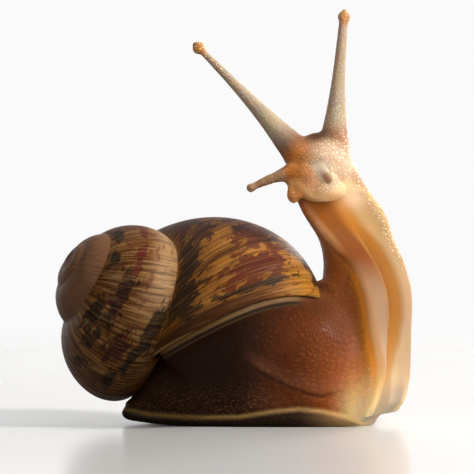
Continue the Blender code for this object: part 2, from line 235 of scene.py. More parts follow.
# the stretches of growth that have them, and how they give way to the bands
SPOTTED = ((-40.0, 0.0), (-118.0, -85.0))
SPOTTED_FADE = 4.0
SPOTTED_ANGLES = (2.2, 2.0)


def spot_depth(length, angle):
    """How far inside a spot a place is, 1 in the middle and 0 at the edge, and its blackness."""
    deepest = np.full_like(length, -1.0)
    black = np.zeros_like(length)
    for middle, around, half_length, half_width, blackness in SHELL_SPOTS:
        off = np.abs((length - middle) / half_length), np.abs((angle - around) / half_width)
        depth = 1 - (off[0] ** 3 + off[1] ** 3) ** (1 / 3)
        black = np.where(depth > deepest, blackness, black)
        deepest = np.maximum(deepest, depth)
    return deepest, black


def add_shell_strip(bm, line_layer, turns, columns, rows, angles_at):
    """A strip of shell over some turns, its points marked with growth, angle from the suture
    and spots. Returns the points along its far edge."""
    layers = [bm.verts.layers.float[name] for name in ("spot", "black", "spotted")]
    made = bmesh.ops.create_grid(bm, x_segments=rows, y_segments=columns, size=1.0)["verts"]
    place = np.array([vert.co for vert in made])
    turn = turns[0] + (turns[1] - turns[0]) * (place[:, 0] + 1) / 2
    share = (place[:, 1] + 1) / 2
    upper = suture_angle(turn)
    first, last = angles_at(turn, upper)
    angle = first + (last - first) * share
    points, grown = grown_point(turn, angle)
    if angles_at is whorl_angles:
        seam = grown_point(turn + 1, suture_angle(turn + 1))[0] - grown_point(turn, last)[0]
        points += seam * ((turn <= -1) * share**3)[:, None]
    length = length_grown(grown)
    around = upper - angle
    marks = dict(zip(made, zip(length, around)))
    spotted = ramp(around, *SPOTTED_ANGLES) * sum(
        ramp(length, start, start + SPOTTED_FADE) * ramp(length, end + SPOTTED_FADE, end)
        for start, end in SPOTTED
    )
    for vert, point, *values in zip(made, points, *spot_depth(length, around), spotted):
        vert.co = point * MM
        for layer, value in zip(layers, values):
            vert[layer] = value
    for face in {face for vert in made for face in vert.link_faces}:
        for corner in face.loops:
            corner[line_layer].uv = marks[corner.vert]
    return [vert for vert, is_last in zip(made, np.isclose(share, 1)) if is_last]


GIRTH = 2 * math.pi * (SECTION_RADIUS + SECTION_SEMI[0])
turn_steps = np.linspace(FIRST_TURN - 0.5, 0.6, 800)
length_steps = np.cumsum(GIRTH * growth(turn_steps)) * (turn_steps[1] - turn_steps[0])


def length_grown(turn):
    """How much shell was laid down after that turn, in millimetres along the widest line."""
    return np.interp(turn, turn_steps, length_steps) - np.interp(0.0, turn_steps, length_steps)


def whorl_angles(turn, upper):
    """From the suture with the whorl before, out to the line that the next whorl covers."""
    covering = np.minimum(turn + 1, 0.0)
    covered = section_point(covering, suture_angle(covering))
    return upper, section_angle(covering - 1, *covered)[0]


def base_angles(turn, upper):
    """From where the last whorl's outside ends, on round under the base towards the axis."""
    return whorl_angles(turn, upper)[1], np.full_like(turn, BASE_END)


def boundary(bm):
    return [edge for edge in bm.edges if edge.is_boundary]


def draw_to(bm, edges, tip):
    """Closes a ring of open edges with faces that meet at one point."""
    made = bmesh.ops.extrude_edge_only(bm, edges=edges)["geom"]
    verts = [item for item in made if isinstance(item, bmesh.types.BMVert)]
    bmesh.ops.pointmerge(bm, verts=verts, merge_co=tip)


def make_object(name, bm, look):
    mesh = bpy.data.meshes.new(name)
    bm.to_mesh(mesh)
    bm.free()
    mesh.materials.append(look)
    mesh.shade_smooth()
    made = bpy.data.objects.new(name, mesh)
    bpy.context.collection.objects.link(made)
    return made


# the helpers below add nodes to the material or world whose node tree is called tree at the time


def add_node(kind, inputs=None, **settings):
    """A new node with its settings, and its inputs given as values or as sockets to link."""
    made = tree.nodes.new(kind)
    for name, value in settings.items():
        setattr(made, name, value)
    for name, value in (inputs or {}).items():
        if isinstance(value, bpy.types.NodeSocket):
            tree.links.new(value, made.inputs[name])
        else:
            made.inputs[name].default_value = value
    return made


def zone(name):
    """The value that is marked on the mesh's points under that name."""
    return add_node("ShaderNodeAttribute", attribute_name=name).outputs["Fac"]


def calculate(operation, first, second=0.0, third=0.0):
    inputs = {0: first, 1: second, 2: third}
    return add_node("ShaderNodeMath", inputs, operation=operation).outputs[0]


def times(first, *others):
    for other in others:
        first = calculate("MULTIPLY", first, other)
    return first


def scaled(value, factor, added):
    return calculate("MULTIPLY_ADD", value, factor, added)


def span(value, low, high):
    """0 up to the low value and 1 past the high one, smooth between."""
    inputs = {"Value": value, "From Min": low, "From Max": high}
    made = add_node("ShaderNodeMapRange", inputs, interpolation_type="SMOOTHSTEP")
    return made.outputs["Result"]


def mix_values(share, first, second):
    inputs = {0: share, 2: first, 3: second}
    return add_node("ShaderNodeMix", inputs, data_type="FLOAT").outputs[0]


def color_of(code):
    """A linear colour from its usual six-digit code."""
    parts = [int(code[i : i + 2], 16) / 255 for i in (0, 2, 4)]
    return (*(c / 12.92 if c <= 0.04045 else ((c + 0.055) / 1.055) ** 2.4 for c in parts), 1.0)


def mix_colors(share, *colors):
    """The first of two colours turning into the second, each a six-digit code or a socket."""
    first, second = (color_of(color) if isinstance(color, str) else color for color in colors)
    inputs = {0: share, 6: first, 7: second}
    return add_node("ShaderNodeMix", inputs, data_type="RGBA").outputs[2]


def blend_into(share, under, over, strength=1.0):
    """The over colour laid on the under one by a share and a fixed strength."""
    return mix_colors(times(share, strength), under, over)


def add_bump(shader, height, strength, distance):
    inputs = {"Height": height, "Strength": strength, "Distance": distance}
    tree.links.new(add_node("ShaderNodeBump", inputs).outputs[0], shader.inputs["Normal"])


def new_material(name, **values):
    made = bpy.data.materials.new(name)
    made.use_nodes = True
    shader = made.node_tree.nodes["Principled BSDF"]
    for key, value in values.items():
        shader.inputs[key.replace("_", " ")].default_value = value
    return made, made.node_tree, shader


# bands: angle from the suture in radians, half width, and how dark the band is
SHELL_BANDS = (
    (0.2, 0.16, 0.95),
    (0.62, 0.13, 0.75),
    (0.98, 0.13, 1.0),
    (1.35, 0.1, 0.9),
    (1.8, 0.1, 0.8),
    (2.35, 0.15, 0.5),
)
# how far inwards a band fades out, against its half width
BAND_FADE = (1.25, 0.7)
# the turns over which the markings give way to the plain brown of the oldest whorls
OLD_TOP = (-1.45, -1.95)

shell_look, tree, shader = new_material("banded_shell", Roughness=0.4, Specular_IOR_Level=0.14)
lines = add_node("ShaderNodeUVMap", uv_map="shell_lines").outputs["UV"]
split_lines = add_node("ShaderNodeSeparateXYZ", {"Vector": lines})
grown, around = split_lines.outputs[0], split_lines.outputs[1]


def line_noise(per_mm, per_radian, level, detail=3.0, roughness=0.55, distortion=0.0):
    """Noise drawn out along the growth lines, by its scale across them and along them."""
    placed = {"Vector": lines, "Location": (0, 0, level), "Scale": (per_mm, per_radian, 1)}
    stretched = add_node("ShaderNodeMapping", placed)
    inputs = {
        "Vector": stretched.outputs[0],
        "Scale": 1.0,
        "Detail": detail,
        "Roughness": roughness,
        "Distortion": distortion,
    }
    return add_node("ShaderNodeTexNoise", inputs).outputs["Fac"]


ribs = line_noise(2.6, 0.9, 0.3, 2.0, 0.6)
hairlines = line_noise(6.0, 2.2, 3.3, 2.0, 0.6)
streaks = line_noise(0.7, 1.2, 2.7, 4.0, 0.6)
flames = line_noise(0.17, 1.9, 5.1, 5.0, 0.62, 0.5)
clouds = line_noise(0.07, 1.6, 9.4, 3.0)
wobble = line_noise(0.3, 3.0, 13.0, 3.0)
crumbs = line_noise(0.5, 7.0, 21.0, 4.0, 0.65, 0.4)
gilding = line_noise(0.5, 0.9, 31.0, 3.0)
wandering = calculate("SUBTRACT", scaled(wobble, 0.3, around), 0.15)
comb = scaled(ribs, 0.22, scaled(streaks, 0.3, -0.26))
combed_crumbs = calculate("ADD", crumbs, comb)

# bands, broken by flames and crumbs
patches = 0.0
for middle, half_width, strength in SHELL_BANDS:
    offset = calculate("ABSOLUTE", calculate("SUBTRACT", wandering, middle))
    band = span(offset, half_width * BAND_FADE[0], half_width * BAND_FADE[1])
    patches = calculate("MAXIMUM", patches, times(band, strength))
patches = times(patches, span(calculate("ADD", flames, comb), 0.46, 0.51))
patches = calculate("MAXIMUM", patches, times(span(combed_crumbs, 0.6, 0.66), 0.8))

# blotches with ragged edges, and the specks between them
ragged = scaled(crumbs, 4.5, scaled(comb, 3.4, -2.25))
spot = span(calculate("ADD", zone("spot"), ragged), -0.16, 0.08)
spot = calculate("MAXIMUM", spot, times(span(combed_crumbs, 0.58, 0.64), 0.75))
patches = mix_values(zone("spotted"), patches, spot)
bare = scaled(patches, -0.8, 1.0)

# parts of the ground colour, by growth in mm and angle from the suture: the newest shell, gilded
# patches, a painted shade on the last whorl just behind the lip, the seams and the worn top
young = span(grown, -14.0, -1.0)
golden = times(young, span(around, 1.3, 1.65))
gilt = times(span(gilding, 0.44, 0.56), span(around, 0.0, 0.3))
gilt = times(gilt, span(grown, -32.0, -22.0), span(grown, -3.0, -6.0))
# painted shade: the shell just behind the lip, darkened
painted_lip_shade = times(span(grown, -5.5, -2.8), span(around, 1.55, 1.2))
worn = span(grown, -60.0, -90.0)
seam = times(span(around, 0.7, 0.1), span(grown, -60.0, -40.0))
cream = times(span(grown, -96.0, -106.0), span(around, 0.9, 1.5), bare)
old = span(grown, *(length_grown(turn) for turn in OLD_TOP))

ground = mix_colors(span(streaks, 0.36, 0.64), "4C2206", "9A5A10")
ground = blend_into(span(clouds, 0.42, 0.62), ground, "542A08", 0.6)
ground = blend_into(gilt, ground, "B87A2A", 0.55)
ground = blend_into(golden, ground, "CC8C34", 0.55)
ground = blend_into(painted_lip_shade, ground, "3A1C06", 0.75)
ground = blend_into(seam, ground, "4A2408", 0.4)
ground = blend_into(worn, ground, "5A320E", 0.6)

band_color = mix_colors(span(clouds, 0.44, 0.54), "140A0C", "4E140C")
spot_color = mix_colors(span(scaled(streaks, 0.4, zone("black")), 0.5, 0.9), "5A180C", "0E0809")
dark = mix_colors(zone("spotted"), band_color, spot_color)
marked = blend_into(patches, ground, dark, 0.94)

rib_color = mix_colors(worn, "D0943C", "B88E56")
rib_shade = mix_colors(young, "241004", "6E4210")
light_ribs = times(span(ribs, 0.5, 0.62), bare, calculate("SUBTRACT", 1.0, painted_lip_shade))
marked = blend_into(light_ribs, marked, rib_color, 0.42)
marked = blend_into(cream, marked, "C8A070", 0.55)
marked = blend_into(span(ribs, 0.46, 0.38), marked, rib_shade, 0.5)
marked = blend_into(span(hairlines, 0.52, 0.66), marked, "C9A066", 0.15)
marked = blend_into(old, marked, "7C563C", 0.88)
marked = blend_into(span(grown, -0.9, -0.5), marked, "A07848", 0.7)
tree.links.new(marked, shader.inputs["Base Color"])

rib_height = scaled(hairlines, 0.35, calculate("ADD", ribs, times(streaks, 1.2)))
add_bump(shader, rib_height, 0.55, 0.00035)

bm = bmesh.new()
line_layer = bm.loops.layers.uv.new("shell_lines")
for name in ("spot", "black", "spotted"):
    bm.verts.layers.float.new(name)
whorl_rows = round(-FIRST_TURN * ROWS_PER_TURN)
add_shell_strip(bm, line_layer, (FIRST_TURN, 0.0), WHORL_COLUMNS, whorl_rows, whorl_angles)
base_end = set(
    add_shell_strip(bm, line_layer, (-1.0, 0.0), BASE_COLUMNS, ROWS_PER_TURN, base_angles)
)
bmesh.ops.remove_doubles(bm, verts=bm.verts, dist=SHELL_WELD)
axis_share = (Vector(LIP_START) - SHELL_APEX).dot(LIP_NORMAL) / UP_AXIS.dot(LIP_NORMAL)
axis_end = (SHELL_APEX + UP_AXIS * axis_share) * MM
draw_to(bm, [e for e in boundary(bm) if base_end.issuperset(e.verts)], axis_end)
apex = SHELL_APEX * MM
draw_to(bm, [e for e in boundary(bm) if (e.verts[0].co - apex).length < NUCLEUS_SIZE * MM], apex)

bmesh.ops.recalc_face_normals(bm, faces=bm.faces)
shell = make_object("snail_shell", bm, shell_look)
wall = shell.modifiers.new("wall", "SOLIDIFY")
wall.thickness = SHELL_WALL * MM
wall.offset = -1.0
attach(shell, "root")
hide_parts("shell")

# ---------------------------------------------------------------- skin
# The body is one soft, wet skin over muscle: a foot with a pale fringe on the floor, a neck that
# rears up and turns its sole to the side, the head with its lips, and four hollow feelers. The
# skin is set with wet warts, drawn out along the body.

# foot: x, lift off the floor, half width, height of the back, all in millimetres
FOOT_ROWS = (
    (-14.9, 1.2, 0.6, 1.2),
    (-14.2, 0.75, 1.4, 2.6),
    (-12.8, 0.4, 2.3, 5.4),
    (-10.8, 0.2, 3.3, 9.2),
    (-8.5, 0.1, 4.4, 11.0),
    (-5.0, 0.0, 5.2, 12.0),
    (2.0, 0.0, 5.9, 12.0),
    (9.0, 0.0, 6.0, 12.5),
    (14.0, 0.0, 5.6, 12.0),
    (17.4, 0.0, 3.6, 8.0),
    (18.5, 1.1, 2.4, 5.0),
)
# neck: height, middle of the sole in x and y, its turn in degrees, its half width, thickness
NECK_ROWS = (
    (1.3, 19.7, -1.6, 18.0, 4.5, 8.0),
    (2.1, 20.2, -1.7, 20.0, 4.9, 9.0),
    (5.8, 20.8, -2.0, 22.0, 5.5, 10.4),
    (12.0, 20.3, -2.2, 30.0, 5.4, 12.0),
    (17.0, 19.9, -2.4, 38.0, 5.1, 10.8),
    (20.5, 18.6, -2.7, 47.0, 4.9, 9.6),
    (24.0, 16.3, -3.1, 66.0, 4.8, 8.2),
    (27.4, 14.2, -3.6, 80.0, 5.3, 6.4),
    (30.6, 12.3, -3.3, 90.0, 4.8, 6.4),
    (33.4, 11.8, -2.6, 90.0, 3.8, 5.4),
    (36.0, 11.2, -1.6, 90.0, 2.4, 2.8),
)
RIM_HEIGHT = 1.1
SOLE_GUTTER = 0.7
# how the body's section is rounded: narrower over the back, squarer at the sole, curved rims
BACK_TAPER = 0.25
SOLE_SQUARENESS = 0.15
RIM_SHARE = 0.5
RIM_CURVE = 1.5
# mantle: how far out of the shell's mouth, and its size against the mouth's
MANTLE_ROWS = ((-1.6, 0.95), (-0.3, 0.96), (0.35, 0.985), (0.8, 0.98), (1.15, 0.95), (1.9, 0.88))
MANTLE_ROOT = Vector((3.2, -0.3, 3.0))
MANTLE_ROOT_WIDTH = 0.64
MANTLE_COLLAR = 0.4
# the full forms of the flank, head and lips: middle, half sizes
FORMS = {
    "hip": ((-5.0, -0.9, 6.6), (7.8, 5.3, 7.6)),
    "flank": ((10.6, -1.7, 8.4), (8.8, 5.5, 10.6)),
    "cranium": ((10.8, -1.2, 33.7), (4.3, 4.0, 4.5)),
    "snout": ((9.7, -3.7, 32.0), (3.4, 2.6, 2.35)),
    "left_palp": ((11.4, -5.0, 31.2), (2.3, 1.1, 1.3)),
    "right_palp": ((7.35, -4.7, 30.3), (0.95, 0.95, 1.35)),
}
# feelers: base, bend, tip, radius at each, radius of the knob
FEELERS = {
    "upper_left": ((12.6, -1.6, 35.6), (13.2, -0.6, 45.0), (14.0, 0.2, 53.3), (2.3, 0.8, 0.6), 0.85),
    "upper_right": ((8.4, -2.2, 35.0), (1.4, -1.8, 42.9), (-5.0, -1.0, 49.2), (2.3, 0.75, 0.42), 0.85),
    "lower_left": ((10.0, -3.6, 34.2), (10.8, -5.4, 33.5), (11.9, -6.5, 32.3), (1.05, 0.68, 0.52), 0.56),
    "lower_right": ((7.4, -3.7, 33.1), (4.4, -4.6, 32.3), (1.8, -5.0, 31.0), (1.4, 0.65, 0.45), 0.62),
}
# the fold along the lower flank: x, height
FOLD = (
    (-1.0, 10.2),
    (0.6, 9.0),
    (3.3, 6.9),
    (6.9, 5.1),
    (8.7, 4.5),
    (10.8, 3.9),
    (13.2, 4.6),
    (16.0, 4.8),
)
FOLD_DEPTH = 0.2
FOLD_WIDTH = 0.3
# the pale fringe over the foot's rim: x, height
FRINGE = (
    (-14.6, 2.0),
    (-11.2, 1.45),
    (-4.6, 1.25),
    (0.6, 1.4),
    (4.5, 2.05),
    (8.0, 2.4),
    (11.1, 2.1),
    (13.7, 1.45),
    (15.3, 0.9),
    (16.4, 0.2),
)
FRINGE_WIDTH = 0.24
FRINGE_GROOVE = 0.2
RIM_RISE = 0.22
# the crease between the two lobes of the reared sole: height, share across the sole
SOLE_CREASE = ((2.0, -1.0), (3.5, -0.9), (6.4, -0.8), (8.5, -0.5), (11.0, -0.16), (14.0, 0.03))
SOLE_LOBE = 0.75
NEAR_RIM_PULL = 1.0
# lower lip: the middle of its arch in x and height, and the arch's half sizes
LOWER_LIP = (11.0, 32.6, 3.9, 2.7)
LIP_RISE = 0.12
HEAD_MIDDLE = (10.6, -2.6, 32.6)
# the warts lie along the body, which bends up round a point in x and z under the shell's lip
BEND_MIDDLE = (9.0, 17.0)
BEND_LENGTH = 13.0
WART_STRETCH = 0.55
WART_SIZE = 0.62
HEAD_WART_SIZE = 0.55
WART_SLOPE = 2.2
WART_RISE = 0.035
# scales of the finer grain that is only in the material
WART_SCALE = 1.5
PEBBLE_SCALE = 2.8
GRAIN_SCALE = 2300.0
MOTTLE_SCALE = 260.0
VOXEL = 0.21
# how the skin is smoothed: all over, then the flank in stages that each stop a step lower and
# further back, and last round the feelers' bases
SKIN_PASSES = 3
FLANK_STAGES = 12
FLANK_PASSES = 16
FLANK_FRONT = (16.5, 0.2)
FLANK_TOP = (25.0, 0.6)
FLANK_BOTTOM = 3.0
JOINT_PASSES = 14
JOINT_REACH = 3.4
HEAD_BOTTOM = 27.0
SECTION_SIDES = 96
BODY_RINGS = 100
MANTLE_SIDES = 120
MANTLE_STEPS = 60
FEELER_SIDES = 32
FEELER_RINGS = 60
NECK_STEPS = 200
SKIN_WELD = 1e-6


def through(rows, at):
    """The row at the place `at`, 0 to 1 along the rows, on a smooth curve through them all."""
    place = at * (len(rows) - 1)
    i = min(int(place), len(rows) - 2)
    t = place - i
    p0, p1, p2, p3 = (np.array(rows[min(max(k, 0), len(rows) - 1)]) for k in range(i - 1, i + 3))
    return (
        (2 * t**3 - 3 * t**2 + 1) * p1
        + (t**3 - 2 * t**2 + t) * (p2 - p0) / 2
        + (3 * t**2 - 2 * t**3) * p2
        + (t**3 - t**2) * (p3 - p1) / 2
    )


def body_section(half_width, height, gutter, share):
    """A point round the body's section: its offset to the side, and its height over the sole."""
    rim_height = min(RIM_HEIGHT, height / 2)
    across = math.cos(2 * math.pi * share)
    up = math.sin(2 * math.pi * share)
    if up >= 0:
        side = half_width * across * abs(across) ** BACK_TAPER
        return side, rim_height + (height - rim_height) * up
    rim = rim_height * max(0.0, 1 + up / RIM_SHARE) ** RIM_CURVE
    return half_width * across * abs(across) ** -SOLE_SQUARENESS, rim + gutter * up * up


def add_tube(bm, sides, rings, place):
    """A closed tube, its skin put where place(share round it, share along it) says."""
    made = bmesh.ops.create_grid(bm, x_segments=sides, y_segments=rings, size=1.0)["verts"]
    for vert in made:
        vert.co = Vector(place((vert.co.x + 1) / 2, (vert.co.y + 1) / 2)) * MM
    bmesh.ops.remove_doubles(bm, verts=made, dist=SKIN_WELD)
    bmesh.ops.holes_fill(bm, edges=boundary(bm))


def foot_point(around, along):
    x, lift, half_width, height = through(FOOT_ROWS, along)
    side, up = body_section(half_width, height, 0.0, around)
    return x, side, max(lift, 0.0) + up


def neck_point(around, along):
    z, x, y, turn, half_width, thickness = through(NECK_ROWS, along)
    side, depth = body_section(half_width, thickness, SOLE_GUTTER, around)
    cos_turn, sin_turn = math.cos(math.radians(turn)), math.sin(math.radians(turn))
    return x + sin_turn * side - cos_turn * depth, y + cos_turn * side + sin_turn * depth, z


mantle_angles = np.linspace(suture_angle(np.zeros(1))[0], BASE_END, MANTLE_STEPS + 1)
mantle_ring = [Vector(p) for p in grown_point(np.zeros(MANTLE_STEPS + 1), mantle_angles)[0]]
mantle_middle = sum(mantle_ring[:-1], Vector()) / MANTLE_STEPS


def mantle_point(around, along):
    place = (around * MANTLE_STEPS) % MANTLE_STEPS
    ring = mantle_ring[:-1] + mantle_ring[:1]
    edge = ring[int(place)].lerp(ring[int(place) + 1], place - int(place)) - mantle_middle
    if along < MANTLE_COLLAR:
        reach, spread = through(MANTLE_ROWS, along / MANTLE_COLLAR)
        return mantle_middle + LIP_NORMAL * reach + edge * spread
    down = (along - MANTLE_COLLAR) / (1 - MANTLE_COLLAR)
    reach, spread = MANTLE_ROWS[-1]
    spread += (MANTLE_ROOT_WIDTH - spread) * down
    return (mantle_middle + LIP_NORMAL * reach).lerp(MANTLE_ROOT, down) + edge * spread


def feeler_path(base, bend, tip, along):
    return (
        Vector(base) * (1 - along) ** 2
        + Vector(bend) * 2 * along * (1 - along)
        + Vector(tip) * along * along
    )


def feeler_width(radii, along):
    return radii[1] + (radii[0] - radii[1]) * (1 - along) ** 3 + (radii[2] - radii[1]) * along**2


def add_feeler(bm, base, bend, tip, radii, knob):
    def place(around, along):
        here = feeler_path(base, bend, tip, along)
        ahead = feeler_path(base, bend, tip, along + 0.01) - here
        side = ahead.cross(Vector((0.0, 1.0, 0.0))).normalized()
        over = ahead.cross(side).normalized()
        turn = 2 * math.pi * around
        return here + (side * math.cos(turn) + over * math.sin(turn)) * feeler_width(radii, along)

    add_tube(bm, FEELER_SIDES, FEELER_RINGS, place)
    add_form(bm, tip, (knob,) * 3)


def add_form(bm, middle, half_sizes):
    made = bmesh.ops.create_icosphere(bm, subdivisions=4, radius=1.0)["verts"]
    for vert in made:
        vert.co = Vector([m + s * c for m, s, c in zip(middle, half_sizes, vert.co)]) * MM


bm = bmesh.new()
add_tube(bm, SECTION_SIDES, BODY_RINGS, foot_point)
add_tube(bm, SECTION_SIDES, BODY_RINGS, neck_point)
add_tube(bm, MANTLE_SIDES, MANTLE_STEPS, mantle_point)
for middle, half_sizes in FORMS.values():
    add_form(bm, middle, half_sizes)
for sizes in FEELERS.values():
    add_feeler(bm, *sizes)
bmesh.ops.recalc_face_normals(bm, faces=bm.faces)

skin_look, tree, shader = new_material(
    "wet_skin",
    Specular_IOR_Level=0.14,
    Subsurface_Weight=0.6,
    Subsurface_Radius=(1.0, 0.5, 0.18),
    Subsurface_Scale=0.0018,
    Coat_Roughness=0.15,
    Emission_Strength=1.0,
)
skin = make_object("snail_skin", bm, skin_look)
remesh = skin.modifiers.new("one_skin", "REMESH")
remesh.mode = "VOXEL"
remesh.voxel_size = VOXEL * MM
graph = bpy.context.evaluated_depsgraph_get()
whole = bpy.data.meshes.new_from_object(skin.evaluated_get(graph))
skin.modifiers.clear()
skin.data = whole

bm = bmesh.new()
bm.from_mesh(whole)


def relax(verts, passes):
    for _ in range(passes):
        bmesh.ops.smooth_vert(
            bm, verts=verts, factor=0.5, use_axis_x=True, use_axis_y=True, use_axis_z=True
        )


relax(bm.verts, SKIN_PASSES)
joints = [Vector(sizes[0]) * MM for sizes in FEELERS.values()]
on_head = [vert for vert in bm.verts if vert.co.z > HEAD_BOTTOM * MM]
near_joint = [v for v in on_head if min((v.co - j).length for j in joints) < JOINT_REACH * MM]
for stage in range(FLANK_STAGES):
    front, top = ((start - step * stage) * MM for start, step in (FLANK_FRONT, FLANK_TOP))
    flank = [v for v in bm.verts if v.co.x < front and FLANK_BOTTOM * MM < v.co.z < top]
    relax(flank, FLANK_PASSES)
relax(near_joint, JOINT_PASSES)
bm.normal_update()
at = np.array([vert.co for vert in bm.verts]) / MM
out = np.array([vert.normal for vert in bm.verts])
x, y, z = at.T


def bell(value, middle, width):
    return np.exp(-(((value - middle) / width) ** 2))


def arched(offset):
    """The height of a round arch, 1 high in its middle and 0 where the offset is 1 either way."""
    return np.sqrt(np.clip(1 - offset**2, 0, 1))


def line_through(places, value):
    return np.interp(value, *zip(*places))


# Each point's place in millimetres gives its place on the neck (across the sole, -1 to 1, and
# depth behind it) and its share in each part of the body, from 0 outside it to 1 inside.
neck_table = np.array([through(NECK_ROWS, k / NECK_STEPS) for k in range(NECK_STEPS + 1)])
neck_x, neck_y, neck_turn, neck_width = (
    np.interp(z, neck_table[:, 0], neck_table[:, column]) for column in range(1, 5)
)
facing = np.radians(neck_turn)
off_x, off_y = x - neck_x, y - neck_y
across = (off_x * np.sin(facing) + off_y * np.cos(facing)) / neck_width
depth = off_y * np.sin(facing) - off_x * np.cos(facing)
on_neck = smooth((x - 13.0) / 2.0 + np.maximum(z - 14.0, 0) / 6) * ramp(z, 32, 30.5)
sole = on_neck * ramp(depth, 1.1, 0.6)
margin = on_neck * ramp(np.abs(across), 0.8, 0.92)
crease = line_through(SOLE_CREASE, z)
past_crease = across - crease
joined = ramp(z, 21, 27)

fringe_z = line_through(FRINGE, x)
on_foot = ramp(x, 17.5, 16)
rim = on_foot * ramp(fringe_z - z, 0, 0.5)
over_fold = z - line_through(FOLD, x)

feeler = np.zeros(len(at))
knob = np.zeros(len(at))
for name, (base, bend, tip, radii, knob_radius) in FEELERS.items():
    steps = np.linspace(0, 1, FEELER_RINGS)
    path = np.array([feeler_path(base, bend, tip, step) for step in steps])
    away = np.linalg.norm(at[:, None, :] - path[None, :, :], axis=2)
    step = steps[away.argmin(axis=1)]
    near = ramp(away.min(axis=1) - feeler_width(radii, step), 0.8, 0.1)
    start = 0.02 if name.startswith("upper") else 0.15
    feeler = np.maximum(feeler, near * ramp(step, start, start + 0.25))
    from_tip = np.linalg.norm(at - np.array(tip), axis=1) / knob_radius
    knob = np.maximum(knob, ramp(from_tip, 1.9, 0.9))
not_feeler = 1 - feeler
from_head = np.linalg.norm((at - HEAD_MIDDLE) * (1, 1, 1.05), axis=1)
head = ramp(from_head, 6.6, 4.4) * not_feeler
head *= ramp(z - 0.25 * np.maximum(x - 11.5, 0), 29.2, 29.9)

lip_ring = np.array(mantle_ring)
lip_steps = np.diff(lip_ring, axis=0)
from_ring = at[:, None, :] - lip_ring[:-1]
share = np.clip((from_ring * lip_steps).sum(axis=2) / (lip_steps**2).sum(axis=1), 0, 1)
from_lip = np.linalg.norm(from_ring - share[:, :, None] * lip_steps, axis=2).min(axis=1)
collar = ramp(from_lip, 1.7, 1.3) * ramp(x, 10, 7)
not_collar = 1 - collar
on_fold = ramp(x, 0, 4) * ramp(x, 15, 11) * not_collar * (y < 0)
fold = on_fold * bell(over_fold, 0, FOLD_WIDTH)

# the warts, which are round on the head and drawn out on the rest of the body
over_x = np.maximum(x - BEND_MIDDLE[0], 0)
under_z = np.maximum(BEND_MIDDLE[1] - z, 0)
bent = BEND_LENGTH * np.arctan2(over_x, under_z + 1e-9)
along = np.minimum(x, BEND_MIDDLE[0]) + bent + np.maximum(z - BEND_MIDDLE[1], 0)
flow = np.stack([along * WART_STRETCH, np.hypot(over_x, under_z), y], axis=1)


def wart_height(points, size):
    made = np.empty(len(points))
    for i, point in enumerate(points / size):
        nearest, second = noise.voronoi(Vector(point))[0][:2]
        made[i] = min((second - nearest) * WART_SLOPE, 1.0)
    return made


warts = wart_height(flow, WART_SIZE) * (1 - head) + wart_height(at, HEAD_WART_SIZE) * head
warty = np.clip(not_collar - sole - 0.85 * feeler - 0.9 * knob - 0.7 * rim, 0, 1)

lip_away = np.hypot((x - LOWER_LIP[0]) / LOWER_LIP[2], (z - LOWER_LIP[1]) / LOWER_LIP[3])
on_lip = ramp(LOWER_LIP[1] - z, 0, 1.2) * ramp(y, -1.5, -2.5) * not_feeler
lip_groove = on_lip * bell(lip_away, 1.12, 0.09)
lobe_share = np.where(past_crease < 0, (across + 1) / (crease + 1.01), past_crease / (1 - crease))
lobes = arched(2 * lobe_share - 1)
lobes += joined * (arched(across) - lobes)

raised = LIP_RISE * (on_lip * bell(lip_away, 0.9, 0.09) - lip_groove)
raised += WART_RISE * (warts - 0.5) * warty
raised += SOLE_LOBE * sole * lobes * ramp(z, 1.3, 3.3)
raised += RIM_RISE * rim * ramp(z, 0.3, 0.9)
raised -= FRINGE_GROOVE * on_foot * bell(z, fringe_z + 0.35, 0.25)
raised -= FOLD_DEPTH * fold
moved = at + out * raised[:, None]
near_rim = on_neck * ramp(z, 8.5, 3) * ramp(across, -0.35, -0.75) * ramp(depth, 2.5, 0.5)
moved[:, 0] -= NEAR_RIM_PULL * near_rim
moved[:, 2] = np.maximum(moved[:, 2], 0.0)
for vert, point in zip(bm.verts, moved):
    vert.co = Vector(point) * MM
bm.to_mesh(whole)
bm.free()
whole.shade_smooth()
